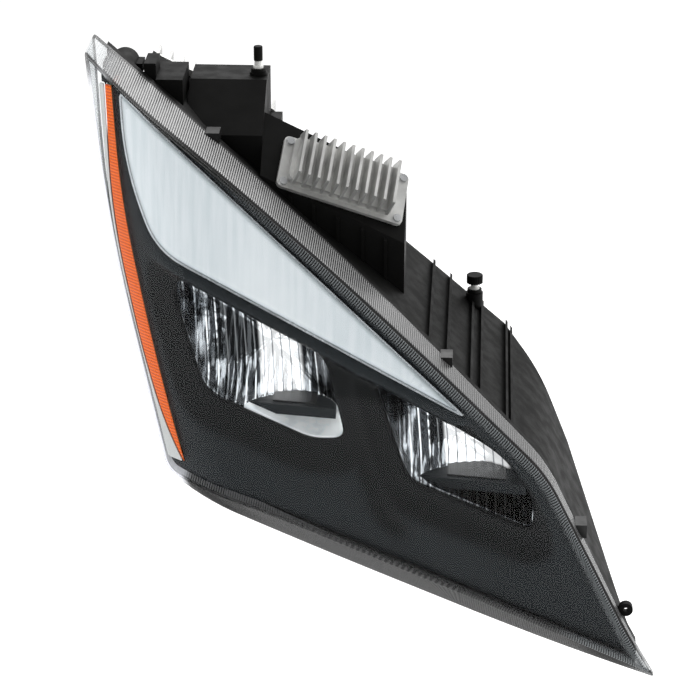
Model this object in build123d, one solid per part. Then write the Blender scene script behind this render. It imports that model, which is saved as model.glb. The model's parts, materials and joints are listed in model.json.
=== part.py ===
from build123d import *
import math
import os

# LED truck headlamp: clear lens, black bezel, two aimed reflector units, driver and housing.
# Millimetres. X runs inboard, Y rearwards, Z up. The origin is the middle of the rear
# mounting pad, on its flat face, and the lamp looks along -Y.

# ------------------------------------------------------------------ main surfaces
# Parting plane between lens and housing, and the plane of the lens's front face:
# y = Y + DX * x + DZ * z. The face rolls back round its outboard edge, along a line that
# passes (EDGE_X, EDGE_TOP) and leans inboard as it goes down.
PART_Y, PART_DX, PART_DZ = -215.0, -0.22, 0.25
FACE_Y, FACE_DX, FACE_DZ = -269.0, -0.148, 0.181
ROLL_DEPTH, ROLL_WIDTH = 28.0, 70.0
EDGE_X, EDGE_TOP, EDGE_LEAN = -262.0, 288.0, 0.19
PRISM_FRONT, PRISM_LENGTH = -450.0, 560.0

# ------------------------------------------------------------------ outlines (x, z, corner trim)
FACE_CORNERS = [(-261.5, 287.5, 7), (-41, 126.5, 190), (195.8, -81, 25), (280.6, -237, 30), (303, -268.5, 5),
                (200, -234, 90), (-110, -134, 60), (-183, -120, 12), (-243, 110, 100)]
RIM_CORNERS = [(-264, 291, 7), (-40, 128, 190), (197, -80, 25), (282, -236, 30), (308, -274, 5),
               (203, -248, 90), (-40, -172, 90), (-187, -122, 14), (-250, 108, 100)]
LOW_CORNERS = [(-182, 87, 38), (-22, 13, 18), (-1, -68, 14), (-35, -71, 12), (-143, -32, 18)]
HIGH_CORNERS = [(28, -9, 8), (158, -69, 30), (186, -112, 12), (184, -143, 8), (62, -104, 14)]
DRL_CORNERS = [(-225, 255, 6), (109, -27, 4), (-191, 110, 26), (-221, 184, 45)]
AMBER_CORNERS = [(-241.5, 262, 1), (-235, 262, 1), (-228, 150, 60), (-199, 18, 50), (-177, -64, 30),
                 (-164, -106, 2), (-184, -72, 30), (-208, 0, 40), (-237, 125, 60)]
STRIP_CORNERS = [(-248, 262, 2), (-243, 262, 1), (-238.5, 125, 60), (-209.5, 0, 40), (-185.5, -72, 30),
                 (-166, -106, 2), (-182, -106, 3), (-240.5, 116, 80)]
SINK_CORNERS = [(-212, 246, 3), (-88, 186, 3), (-88, 70, 3), (-212, 70, 3)]
HOUSING_LEFT, HOUSING_RIGHT = -249.0, 289.0      # the clear lens tips run on past these

# ------------------------------------------------------------------ walls and layers
LENS_WALL = 3.0
RIM_STEP = 6.0            # the rim band lies this far behind the front face
SEAL = 2.0
FLANGE = 8.0
HOUSING_INSET = 4.0
WALL = 3.0
BACK_Y = -10.0            # flat rear wall of the housing, outside
BEZEL_DEPTH, BEZEL_WALL = 10.0, 3.0
DRL_DEPTH, DRL_THICK = 7.0, 4.0
STRIP_DEPTH, STRIP_THICK = 5.0, 3.0

# ------------------------------------------------------------------ beam units
CUP_FRONT, CUP_BACK, CUP_WALL = 22.0, 98.0, 3.0
SHELF_FRONT = 34.0
PIN_R, PIN_SEAT, RUNNING_FIT = 4.0, 5.0, 0.06
SCREW_R = 4.0
ARM_HALF = 4.0
TIP_HALF = 3.0
SLOT_PLAY = 0.6
TIP_GAP, TIP_LONG = 5.5, 14.0
BEAMS = {
    "low": dict(corners=LOW_CORNERS, pivot=(-190.0, -25.0), ear_x=(-160.0, 4.0), base_y=-125.0,
                screw=(-102.0, -40.0), arm_z=40.0, screw_z=(18.0, 262.0), bush_top=242.0,
                cap=(265.0, 4.6, 15.0), sink=(-130.0, -25.0, -10.0, 56.0), legs=(-140.0, -30.0),
                shelf=(-106.0, -12.0, -56.0, -46.0)),
    "high": dict(corners=HIGH_CORNERS, pivot=(-235.0, -90.0), ear_x=(46.0, 181.0), base_y=-150.0,
                 screw=(123.0, -26.0), arm_z=-60.0, screw_z=(-92.0, 11.0), bush_top=-3.0,
                 cap=(13.0, 8.6, 9.0), sink=(75.0, 136.0, -78.0, -50.0), legs=(62.0, 150.0),
                 shelf=(70.0, 178.0, -116.0, -106.0)),
}
COVERS = {"low": (-85.0, -8.0), "high": (94.0, -56.0)}
COVER_R, COLLAR = 42.0, 12.0

# ------------------------------------------------------------------ driver on top
DRIVER_CORNER = Vector(-77.5, -155.0, 155.0)      # lower outboard corner of the base plate
DRIVER_ALONG = Vector(0.926, 0.13, -0.355)
DRIVER_UP = Vector(0.094, 0.828, 0.553)
DRIVER_LONG, DRIVER_WIDE, DRIVER_PLATE = 134.0, 62.0, 4.0
DRIVER_FINS, DRIVER_PITCH, DRIVER_FIN_TALL = 11, 10.0, 22.0
BAY_X, BAY_Y = (-92.0, 52.0), (-150.0, -88.0)
BLOCK_B = ((-170.0, -92.0), (-120.0, BACK_Y), (120.0, 235.0))
SLOPE_BACK_Y, SLOPE_RISE = -58.0, 0.62            # the adjuster block's sloping upper front
BLOCK_C = ((-93.0, -80.0), (-110.0, BACK_Y), (100.0, 185.0))
STEPS = [((-212, -200), (-95, -60), (200, 262)), ((-200, -173), (-100, -40), (190, 247))]
EAR, EAR_R, EAR_HOLE = (278.5, -217.0), 7.0, 2.5
SINK_SCREWS = [(-179.7, 78.0), (-108.9, 78.0), (-179.7, 210.0), (-108.9, 162.0)]

# ------------------------------------------------------------------ mounting, connector, vent, marker
MOUNTS = [(0.0, 0.0), (-155.0, -75.0), (20.0, -140.0)]
INSERT_R, M8_R = 6.0, 4.0
BUSH_R = 6.0
CONNECTOR, CONNECTOR_SIZE = (5.0, -75.0), (34.0, 20.0)
VENT = (-20.0, 52.0)
SOCKET_X, SOCKET_Z, SOCKET_Y = -236.0, 251.0, (-85.0, -46.0)
SOCKET_R, SOCKET_NECK_R = 14.5, 5.0
POCKET_X, POCKET_Z = -213.0, 170.0


# ================================================================== helpers
def grown(corners, amount):
    """The corners moved outwards by amount, each trim kept in step with its corner."""
    turns = sum(a[0] * b[1] - b[0] * a[1] for a, b in zip(corners, corners[1:] + corners[:1]))
    side = math.copysign(1, turns)
    result = []
    for index, (x, z, trim) in enumerate(corners):
        back, ahead = corners[index - 1], corners[(index + 1) % len(corners)]
        run = Vector(x - back[0], z - back[1]).normalized()
        leave = Vector(ahead[0] - x, ahead[1] - z).normalized()
        share = amount * side / (1 + run.dot(leave))
        moved = (x + share * (run.Y + leave.Y), z - share * (run.X + leave.X))
        bend = (run.X * leave.Y - run.Y * leave.X) / (1 + run.dot(leave))
        result.append((*moved, max(trim + amount * side * bend, 0.3)))
    return result


def rounded(corners, amount=0):
    """Closed face in the XZ plane: straight runs, with a quadratic curve at each corner."""
    corners = grown(corners, amount)
    ends = []
    for index, (x, z, trim) in enumerate(corners):
        point = Vector(x, 0, z)
        before = (Vector(corners[index - 1][0], 0, corners[index - 1][1]) - point).normalized()
        ahead = corners[(index + 1) % len(corners)]
        after = (Vector(ahead[0], 0, ahead[1]) - point).normalized()
        ends.append((point + before * trim, point, point + after * trim))
    edges = [Bezier(*points) for points in ends]
    edges += [Line(ends[index - 1][2], points[0]) for index, points in enumerate(ends)]
    return Face(Wire(edges))


def prism(outline, front=PRISM_FRONT, length=PRISM_LENGTH):
    return extrude(Pos(0, front, 0) * outline, length, dir=(0, 1, 0))


def box(x, y, z):
    """Solid box from its three (low, high) spans."""
    size = [span[1] - span[0] for span in (x, y, z)]
    middle = [(span[1] + span[0]) / 2 for span in (x, y, z)]
    return Pos(*middle) * Box(*size)


def rod(start, end, radius):
    """Cylinder between two points."""
    start, end = Vector(*start), Vector(*end)
    along = end - start
    return extrude(Plane(origin=start, z_dir=along) * Circle(radius), along.length)


def behind_plane(y, dx, dz, shift=0.0):
    """Everything behind the plane y + dx*x + dz*z, moved back by shift."""
    plane = Plane(origin=(0, y + shift, 0), z_dir=(-dx, 1, -dz))
    return extrude(plane * Rectangle(1600, 1600), 700)


def behind_parting(shift):
    return behind_plane(PART_Y, PART_DX, PART_DZ, shift)


def face_y(x, z):
    """Y of the lens's front face."""
    inboard = x - (EDGE_X + EDGE_LEAN * (EDGE_TOP - z))
    roll = max(1 - inboard / ROLL_WIDTH, 0)
    return FACE_Y + FACE_DX * x + FACE_DZ * z + ROLL_DEPTH * roll * roll


def behind_face(depth):
    """Everything at least depth behind the lens's front face: its section swept along the edge."""
    left, right, back, reach = -330.0, 370.0, 200.0, 330.0
    flat = EDGE_X + EDGE_LEAN * EDGE_TOP + ROLL_WIDTH
    steep = FACE_DX - 2 * ROLL_DEPTH * (flat - left) / ROLL_WIDTH ** 2
    start = Vector(left, face_y(left, 0) + depth, 0)
    middle = Vector((left + flat) / 2, start.Y + steep * (flat - left) / 2, 0)
    end = Vector(flat, face_y(flat, 0) + depth, 0)
    far = Vector(right, face_y(right, 0) + depth, 0)
    corner_right, corner_left = Vector(right, back, 0), Vector(left, back, 0)
    outline = [Bezier(start, middle, end), Line(end, far), Line(far, corner_right),
               Line(corner_right, corner_left), Line(corner_left, start)]
    sweep = Vector(-EDGE_LEAN, FACE_DZ - EDGE_LEAN * FACE_DX, 1)
    section = Pos(*(sweep * -reach)) * Face(Wire(outline))
    return extrude(section, 2 * reach * sweep.length, dir=sweep)


def layer(outline, near, far):
    """The outline's prism from the surface of near to the surface of far."""
    return (prism(outline) & near) - far


def trimmed(outline, inset=0.0):
    """The outline without the two lens tips."""
    span = box((HOUSING_LEFT + inset, HOUSING_RIGHT - inset), (-1, 1), (-400, 400))
    return (outline & span).face()


def behind_back(shift=0.0):
    """Everything behind the housing's rear walls: a flat back and two slopes to the inboard tip."""
    flat = behind_plane(BACK_Y, 0, 0, shift)
    slope = behind_plane(142.2, -0.8, 0.564, shift)
    tip = behind_plane(317.0, -1.2, 1.186, shift)
    pocket = box((-400, POCKET_X - shift), (SOCKET_Y[0] + shift, 400), (POCKET_Z + shift, 400))
    return flat + slope + tip + pocket


TUB = trimmed(rounded(RIM_CORNERS, -HOUSING_INSET))
TUB_INSIDE = trimmed(rounded(RIM_CORNERS, -HOUSING_INSET - WALL), WALL)


# ================================================================== lens, seal, housing
def lens():
    """Clear cup: front face, stepped rim band and a wall back to the parting plane; solid tips."""
    outer = layer(rounded(FACE_CORNERS), behind_face(0), behind_face(RIM_STEP))
    outer += layer(rounded(RIM_CORNERS), behind_face(RIM_STEP), behind_parting(0))
    cavity = layer(trimmed(rounded(FACE_CORNERS, -LENS_WALL), 1), behind_face(LENS_WALL), behind_parting(1))
    rim_inside = trimmed(rounded(RIM_CORNERS, -LENS_WALL))
    cavity += layer(rim_inside, behind_face(RIM_STEP + LENS_WALL), behind_parting(1))
    return outer - cavity


def flange_ring(near, far):
    """Ring between the tub's inside and the lens's rim, at a layer behind the parting plane."""
    return layer(trimmed(rounded(RIM_CORNERS)), behind_parting(near), behind_parting(far)) - prism(TUB_INSIDE)


def driver_plane(lift=0.0):
    normal = DRIVER_ALONG.cross(DRIVER_UP)
    return Plane(origin=DRIVER_CORNER + normal * lift, x_dir=DRIVER_ALONG, z_dir=normal)


def above_plate_plane(lift):
    """Everything above the driver plate's plane, moved down by lift."""
    return extrude(driver_plane(-lift) * Pos(60, 30) * Rectangle(500, 500), 300)


def bay():
    return box(BAY_X, BAY_Y, (-10, 260)) - above_plate_plane(0)


def bay_room():
    """Hollow of the driver bay, with its opening through the top under the driver plate."""
    x, y = BAY_X, BAY_Y
    room = box((x[0] + WALL, x[1] - WALL), (y[0] + WALL, y[1] - WALL), (-10, 260)) - above_plate_plane(WALL)
    middle = Pos(DRIVER_LONG / 2, DRIVER_WIDE / 2)
    opening = extrude(driver_plane(-12) * middle * Rectangle(DRIVER_LONG - 24, DRIVER_WIDE - 24), 12)
    return room + opening


def block(spans, shrink):
    x, y, z = spans
    return box((x[0] + shrink, x[1] - shrink), (y[0] + shrink, y[1] - shrink), (z[0], z[1] - shrink))


def adjuster_block(shrink):
    """Block round the low beam adjuster, its upper front cut back to a slope."""
    top = BLOCK_B[2][1] - shrink
    slope = Plane(origin=(0, SLOPE_BACK_Y, top), z_dir=(0, -SLOPE_RISE, 1))
    above = extrude(slope * Rectangle(900, 900), 200)
    return block(BLOCK_B, shrink) - above


def top_ribs():
    """Ribs along Y that stand on the tub's upper wall, inboard of the driver bay."""
    tub_outside = trimmed(rounded(RIM_CORNERS, -HOUSING_INSET - 1), 1)
    band = layer(trimmed(rounded(RIM_CORNERS)), behind_parting(SEAL + FLANGE), behind_back()) - prism(tub_outside)
    return [band & box((x - 1.2, x + 1.2), (-400, 0), (-60, 120)) for x in (80, 98, 122, 132, 158, 163)]


def bay_ribs():
    """Upright ribs on the front of the driver bay."""
    raised = box(BAY_X, (BAY_Y[0] - 3, BAY_Y[1]), (-10, 260)) - above_plate_plane(3)
    return [raised & box((x - 1.5, x + 1.5), (-153, -149), (0, 200)) for x in (-62, -39, -15, 10, 33)]


def steps():
    """Two blocks that stand on the tub's upper wall, beside the marker lamp socket."""
    return [box(*spans) for spans in STEPS]


def ear_rod(radius):
    """Cylinder along Y through the flange's inboard mounting ear."""
    x, z = EAR
    y = PART_Y + PART_DX * x + PART_DZ * z + SEAL
    return rod((x, y + 1, z), (x, y + FLANGE, z), radius)


def in_front_of_flange():
    plane = Plane(origin=(0, PART_Y + SEAL, 0), z_dir=(PART_DX, -1, PART_DZ))
    return extrude(plane * Rectangle(1600, 1600), 700)


def adjuster_boss(beam):
    """Post on the housing that the adjuster's bush sits in: x, y and the boss's top."""
    x, y = beam["screw"]
    return x, y, beam["bush_top"] - 4


def housing_room():
    """The space inside the housing."""
    room = layer(TUB_INSIDE, behind_parting(SEAL - 1), behind_back(-WALL))
    blocks = bay_room() + adjuster_block(WALL) + block(BLOCK_C, WALL)
    return room + (blocks - in_front_of_flange())


def housing():
    """Black tub with flange, adjuster block, driver bay, ribs, cover collars and mounting bosses."""
    outer = layer(TUB, behind_parting(SEAL), behind_back())
    outer += bay() + adjuster_block(0) + block(BLOCK_C, 0)
    body = outer - in_front_of_flange()
    body += flange_ring(SEAL, SEAL + FLANGE)
    for piece in top_ribs() + bay_ribs() + steps():
        body += piece
    body += ear_rod(EAR_R)
    for beam in BEAMS.values():
        x, y, top = adjuster_boss(beam)
        body += rod((x, y, top - 26), (x, y, top), 9)
    body += rod((SOCKET_X, SOCKET_Y[0] - 8, SOCKET_Z), (SOCKET_X, SOCKET_Y[0], SOCKET_Z), SOCKET_R + 1)
    for x, z in COVERS.values():
        body += rod((x, BACK_Y - WALL, z), (x, BACK_Y + COLLAR, z), COVER_R - 4)
    body -= housing_room()
    for x, z in MOUNTS:
        body += rod((x, BACK_Y - 22, z), (x, 0, z), 12)
    return pierced(body)


def pierced(body):
    """The housing's holes: covers, bosses, adjusters, driver, vent, connector and marker socket."""
    for x, z in COVERS.values():
        body -= rod((x, BACK_Y - 20, z), (x, BACK_Y + 40, z), COVER_R - 7)
    for x, z in MOUNTS:
        body -= rod((x, BACK_Y - 16, z), (x, 1, z), INSERT_R)
    for beam in BEAMS.values():
        x, y, top = adjuster_boss(beam)
        body -= rod((x, y, top - 40), (x, y, top + 1), BUSH_R)
    neck_front, neck_back = SOCKET_Y[0] - 30, SOCKET_Y[0] + 1
    neck_r = SOCKET_NECK_R + RUNNING_FIT
    body -= rod((SOCKET_X, neck_front, SOCKET_Z), (SOCKET_X, neck_back, SOCKET_Z), neck_r)
    body -= rod((VENT[0], BACK_Y - 10, VENT[1]), (VENT[0], BACK_Y + 10, VENT[1]), 5)
    body -= connector_block(0, -20, 20)
    return body - ear_rod(EAR_HOLE)


def connector_block(margin, y_low, y_high):
    x, z = CONNECTOR
    wide, tall = CONNECTOR_SIZE
    return box((x - wide / 2 - margin, x + wide / 2 + margin), (y_low, y_high),
               (z - tall / 2 - margin, z + tall / 2 + margin))


def lens_clips():
    """Spring clips that hold the lens's rim to the flange, along the upper and inboard edges."""
    clips = []
    for x, z in ((-140, 199), (96, 6), (231, -141)):
        y = PART_Y + PART_DX * x + PART_DZ * z
        clips.append(box((x - 7, x + 7), (y - 8, y + SEAL + FLANGE + 2), (z - 7, z + 7)))
    band = prism(trimmed(rounded(RIM_CORNERS)))
    return [clip - band for clip in clips]


# ================================================================== front panels
def bezel():
    """Black inner panel with openings for the light guide and both reflectors."""
    blank = trimmed(rounded(FACE_CORNERS, -LENS_WALL - 1.5), 1)
    panel = layer(blank, behind_face(BEZEL_DEPTH), behind_face(BEZEL_DEPTH + BEZEL_WALL))
    for corners, gap in ((DRL_CORNERS, 2.5), (AMBER_CORNERS, 0.6), (STRIP_CORNERS, 0.6)):
        panel -= prism(rounded(corners, gap))
    for beam in BEAMS.values():
        panel -= prism(rounded(beam["corners"]))
    return panel.solids().sort_by(SortBy.VOLUME)[-1]


def drl_light_guide():
    return layer(rounded(DRL_CORNERS), behind_face(DRL_DEPTH), behind_face(DRL_DEPTH + DRL_THICK))


def drl_trim():
    """Narrow bright rim round the light guide."""
    ring = prism(rounded(DRL_CORNERS, 2.2)) - prism(rounded(DRL_CORNERS, 0.3))
    return (ring & behind_face(DRL_DEPTH + 1)) - behind_face(DRL_DEPTH + 6)


def drl_tray():
    """White box behind the light guide that holds its edge LEDs."""
    walls = layer(rounded(DRL_CORNERS, -0.5), behind_face(BEZEL_DEPTH + BEZEL_WALL), behind_face(40))
    return walls - layer(rounded(DRL_CORNERS, -2.5), behind_face(BEZEL_DEPTH), behind_face(37))


def drl_led_board():
    return layer(rounded(DRL_CORNERS, -8), behind_face(33), behind_face(35)) & box((-400, 400), (-450, 0), (60, 230))


def side_marker_lens():
    return layer(rounded(AMBER_CORNERS), behind_face(STRIP_DEPTH), behind_face(STRIP_DEPTH + STRIP_THICK))


def side_reflector_strip():
    return layer(rounded(STRIP_CORNERS), behind_face(STRIP_DEPTH), behind_face(STRIP_DEPTH + STRIP_THICK))


def side_marker_board():
    """Long LED board behind the amber strip."""
    return layer(rounded(AMBER_CORNERS, -1), behind_face(16), behind_face(18))


# ================================================================== beam units
def cup(beam, growth, front, back):
    return layer(rounded(beam["corners"], growth), behind_face(front), behind_face(back))


def reflector(beam):
    """Reflector bowl with a bored ear at each end of its pivot axis."""
    y, z = beam["pivot"]
    low, high = beam["ear_x"]
    body = cup(beam, CUP_WALL, CUP_FRONT, CUP_BACK)
    body += rod((low, y, z), (low + 24, y, z), 8) + rod((high - 24, y, z), (high, y, z), 8)
    body -= cup(beam, 0, 0, CUP_BACK - CUP_WALL)
    for start, end in ((low, low + PIN_SEAT), (high - PIN_SEAT, high)):
        body -= rod((start, y, z), (end, y, z), PIN_R)
    return body.solids().sort_by(SortBy.VOLUME)[-1]


def pivot_pins(beam):
    y, z = beam["pivot"]
    low, high = beam["ear_x"]
    return [rod((low + PIN_SEAT, y, z), (low - 9, y, z), PIN_R),
            rod((high - PIN_SEAT, y, z), (high + 9, y, z), PIN_R)]


def pivot_bracket(beam):
    """Steel U that carries the two pivot pins, on two legs from the housing's back."""
    y, z = beam["pivot"]
    low, high = beam["ear_x"]
    base = beam["base_y"]
    body = box((low - 8, high + 8), (base, base + 4), (z - 8, z + 8))
    for x in (low - 8, high + 4):
        body += box((x, x + 4), (y, base + 4), (z - 8, z + 8)) + rod((x, y, z), (x + 4, y, z), 8)
        body -= rod((x - 1, y, z), (x + 5, y, z), PIN_R + RUNNING_FIT)
    for x in beam["legs"]:
        body += rod((x, base + 2, z), (x, 0, z), 5)
    return body & housing_room()


def led_shelf(beam):
    """Black shelf across the bowl; the LEDs sit on top of it."""
    x_low, x_high, z_low, z_high = beam["shelf"]
    room = cup(beam, -0.3, SHELF_FRONT, CUP_BACK - CUP_WALL)
    shelf = room & box((x_low, x_high), (-450, 0), (z_low, z_high))
    return shelf.solids().sort_by(SortBy.VOLUME)[-1]


def led_board(beam):
    x_low, x_high, _, z = beam["shelf"]
    room = cup(beam, -4, SHELF_FRONT + 6, CUP_BACK - CUP_WALL)
    board = room & box((x_low + 30, x_high - 20), (-450, 0), (z, z + 1.6))
    return board.solids().sort_by(SortBy.VOLUME)[-1]


def beam_heat_sink(beam):
    """Finned block on the back of the reflector."""
    x_low, x_high, z_low, z_high = beam["sink"]
    back = beam["base_y"] - 5
    body = box((x_low, x_high), (back - 140, back), (z_low, z_high)) & behind_face(CUP_BACK)
    x = x_low + 8
    while x < x_high - 6:
        body -= box((x, x + 5), (back - 18, back + 1), (z_low - 1, beam["arm_z"] - 9))
        x += 9
    return body.solids().sort_by(SortBy.VOLUME)[-1]


def aim_arm(beam):
    """Arm from the heat sink back to the adjuster nut, with a narrow tip in the nut's slot."""
    x, y = beam["screw"]
    z, start = beam["arm_z"], beam["base_y"] - 5
    tip = y - SCREW_R - TIP_GAP
    body = box((x - ARM_HALF, x + ARM_HALF), (start, tip - TIP_LONG), (z - ARM_HALF, z + ARM_HALF))
    body += box((x - 9, x + 9), (start, start + 3), (z - 7, z + 7))
    return body + box((x - TIP_HALF, x + TIP_HALF), (tip - TIP_LONG, tip), (z - TIP_HALF, z + TIP_HALF))


def adjuster_nut(beam):
    """Block on the screw, with a slot across its front for the arm's tip."""
    x, y = beam["screw"]
    z = beam["arm_z"]
    body = box((x - 9, x + 9), (y - 17, y + 8.5), (z - 9, z + 9))
    body -= rod((x, y, z - 10), (x, y, z + 10), SCREW_R + RUNNING_FIT)
    half = TIP_HALF + SLOT_PLAY
    return body - box((x - half, x + half), (y - 18, y - SCREW_R - 1.5), (z - half, z + half))


def adjuster_screw(beam):
    x, y = beam["screw"]
    low, high = beam["screw_z"]
    body = rod((x, y, low), (x, y, high), SCREW_R)
    collar = beam["bush_top"]
    return body + rod((x, y, collar + 0.1), (x, y, collar + 2.1), 5.2)


def adjuster_cap(beam):
    """Cap pressed on the screw's top: a slim cap or a wide ribbed knob."""
    x, y = beam["screw"]
    top, radius, tall = beam["cap"]
    body = rod((x, y, top - tall), (x, y, top), radius)
    body = fillet(body.edges().group_by(Axis.Z)[-1], 1.2)
    if radius > 6:
        for index in range(18):
            turn = math.radians(20 * index)
            notch = (x + radius * math.cos(turn), y + radius * math.sin(turn))
            body -= rod((*notch, top - tall - 1), (*notch, top + 1), 0.7)
    return body - rod((x, y, top - tall - 1), (x, y, beam["screw_z"][1]), SCREW_R)


def adjuster_bush(beam):
    x, y = beam["screw"]
    top = beam["bush_top"]
    body = rod((x, y, top - 30), (x, y, top), BUSH_R) + rod((x, y, top - 4), (x, y, top), BUSH_R + 1.6)
    return body - rod((x, y, top - 31), (x, y, top + 1), SCREW_R + RUNNING_FIT)


# ================================================================== rear covers
def rear_cover(centre):
    """Twist-off cap with a grip bar, over the housing's collar."""
    x, z = centre
    top = BACK_Y + COLLAR
    body = rod((x, BACK_Y + 3, z), (x, top + 4, z), COVER_R)
    body = fillet(body.edges().group_by(Axis.Y)[-1], 2)
    body -= rod((x, BACK_Y, z), (x, top + 0.4, z), COVER_R - 3.7)
    body += box((x - 26, x + 26), (top + 3, top + 14), (z - 4, z + 4))
    for index in range(12):
        turn = math.radians(30 * index)
        edge = (x + COVER_R * math.cos(turn), z + COVER_R * math.sin(turn))
        body -= rod((edge[0], BACK_Y, edge[1]), (edge[0], top + 9, edge[1]), 2.2)
    return body


def cover_seal(centre):
    x, z = centre
    ring = rod((x, BACK_Y, z), (x, BACK_Y + 2.7, z), COVER_R - 0.5)
    return ring - rod((x, BACK_Y - 1, z), (x, BACK_Y + 4, z), COVER_R - 4)


# ================================================================== driver, rear sink, connector
def driver_heat_sink():
    """Finned aluminium lid of the LED driver, tilted on top of the bay."""
    on_plate = driver_plane(1.5)
    long, wide = DRIVER_LONG, DRIVER_WIDE
    plate = extrude(on_plate * Pos(long / 2, wide / 2) * RectangleRounded(long, wide, 6), DRIVER_PLATE)
    raised = Pos(long / 2 - 2, wide / 2 + 1) * RectangleRounded(long - 22, wide - 8, 9)
    body = plate + extrude(on_plate * raised, DRIVER_PLATE + 9)
    first = long / 2 - 2 - DRIVER_PITCH * (DRIVER_FINS - 1) / 2
    for index in range(DRIVER_FINS):
        body += on_plate * driver_fin(first + index * DRIVER_PITCH)
    for x, y in driver_screw_places():
        body -= extrude(on_plate * Pos(x, y, -1) * Circle(2.5), DRIVER_PLATE + 20)
    return body


def driver_fin(x):
    """One fin, in the plate's frame: thin, tapering to its top, with sloped ends."""
    base, wide = DRIVER_PLATE + 6, DRIVER_WIDE
    fin = Polyline((2, base), (4, base + DRIVER_FIN_TALL), (wide - 6, base + DRIVER_FIN_TALL),
                   (wide + 1, base), close=True)
    side = Plane(origin=(x - 1.4, 0, 0), x_dir=(0, 1, 0), z_dir=(1, 0, 0)) * make_face(fin)
    return extrude(side, 2.8)


def driver_screw_places():
    inset = 6
    return [(inset, inset), (inset, DRIVER_WIDE - inset), (DRIVER_LONG - inset, inset),
            (DRIVER_LONG - inset, DRIVER_WIDE - inset)]


def driver_gasket():
    on_bay = driver_plane(0)
    middle = Pos(DRIVER_LONG / 2, DRIVER_WIDE / 2)
    ring = extrude(on_bay * middle * RectangleRounded(DRIVER_LONG - 3, DRIVER_WIDE - 3, 5), 1.5)
    ring -= extrude(on_bay * middle * RectangleRounded(DRIVER_LONG - 24, DRIVER_WIDE - 24, 5), 1.5)
    for x, y in driver_screw_places():
        ring -= extrude(on_bay * Pos(x, y) * Circle(3), 1.5)
    return ring


def driver_board():
    """Driver circuit board with its coils, hung under the heat sink in the bay."""
    under = driver_plane(-9)
    board = extrude(under * Pos(DRIVER_LONG / 2, DRIVER_WIDE / 2) * Rectangle(94, 30), 1.6)
    for x in (30, 55, 82):
        board += extrude(under * Pos(x, 30) * Circle(7), 9)
    return board


def driver_screws():
    top = driver_plane(1.5 + DRIVER_PLATE)
    return [extrude(top * Pos(x, y) * Circle(4.2), 2.5) + extrude(top * Pos(x, y, -5.5) * Circle(2.5), 6)
            for x, y in driver_screw_places()]


def rear_heat_sink():
    """Upright fins on a plate behind the housing, standing above its sloping top."""
    outline = rounded(SINK_CORNERS)
    body = extrude(Pos(0, BACK_Y + 1, 0) * outline, 5, dir=(0, 1, 0))
    fins = extrude(Pos(0, BACK_Y + 5, 0) * outline, 27, dir=(0, 1, 0))
    x = -210.5
    while x < -88:
        body += fins & box((x, x + 2.6), (BACK_Y, 30), (74, 300))
        x += 11.8
    for x, z in SINK_SCREWS:
        body -= rod((x, BACK_Y, z), (x, BACK_Y + 8, z), 2.5)
    return body


def rear_gasket():
    outline = prism(rounded(SINK_CORNERS, -4)) & prism(trimmed(rounded(RIM_CORNERS, -HOUSING_INSET - 1), 1))
    ring = outline - prism(rounded(SINK_CORNERS, -18))
    for x, z in SINK_SCREWS:
        ring -= rod((x, BACK_Y - 5, z), (x, BACK_Y + 5, z), 3)
    return ring & box((-300, 0), (BACK_Y, BACK_Y + 1), (0, 300))


def rear_sink_screws():
    return [rod((x, BACK_Y + 6, z), (x, BACK_Y + 9, z), 4.5) + rod((x, BACK_Y, z), (x, BACK_Y + 8, z), 2.5)
            for x, z in SINK_SCREWS]


def harness_connector():
    """Rectangular socket, open to the rear."""
    shell = connector_block(0, BACK_Y - WALL, 14) + connector_block(3, BACK_Y, BACK_Y + 3)
    return shell - connector_block(-2.5, BACK_Y + 2, 20)


def connector_pins():
    x, z = CONNECTOR
    return [box((x + dx - 0.8, x + dx + 0.8), (BACK_Y + 2, 8), (z + dz - 0.8, z + dz + 0.8))
            for dx in (-9, -3, 3, 9) for dz in (-4, 4)]


def vent_cap():
    x, z = VENT
    body = rod((x, BACK_Y, z), (x, BACK_Y + 9, z), 10)
    return fillet(body.edges().group_by(Axis.Y)[-1], 2) - rod((x, BACK_Y - 1, z), (x, BACK_Y + 5, z), 8)


def vent_membrane():
    x, z = VENT
    return rod((x, BACK_Y, z), (x, BACK_Y + 1, z), 7.5)


# ================================================================== marker socket, inserts
def marker_socket():
    """Twist-lock bulb socket with two grip wings."""
    low, high = SOCKET_Y
    body = rod((SOCKET_X, low + 1, SOCKET_Z), (SOCKET_X, high, SOCKET_Z), SOCKET_R)
    body = fillet(body.edges().group_by(Axis.Y)[-1], 7)
    for side in (-1, 1):
        body += box((SOCKET_X + side * 17 - 3, SOCKET_X + side * 17 + 3), (low + 8, high - 8),
                    (SOCKET_Z - 5, SOCKET_Z + 5))
        body += box((SOCKET_X + side * 13 - 4, SOCKET_X + side * 13 + 4), (low + 8, high - 8),
                    (SOCKET_Z - 3, SOCKET_Z + 3))
    return body + rod((SOCKET_X, low - 26, SOCKET_Z), (SOCKET_X, low + 2, SOCKET_Z), SOCKET_NECK_R)


def marker_bulb():
    body = rod((SOCKET_X, SOCKET_Y[0] - 36, SOCKET_Z), (SOCKET_X, SOCKET_Y[0] - 26, SOCKET_Z), 4)
    return fillet(body.edges().group_by(Axis.Y)[0], 3)


def mount_inserts():
    """Threaded brass inserts in the mounting bosses, flush with the pads."""
    return [rod((x, BACK_Y - 16, z), (x, 0, z), INSERT_R) - rod((x, BACK_Y - 14, z), (x, 1, z), M8_R)
            for x, z in MOUNTS]


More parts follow.
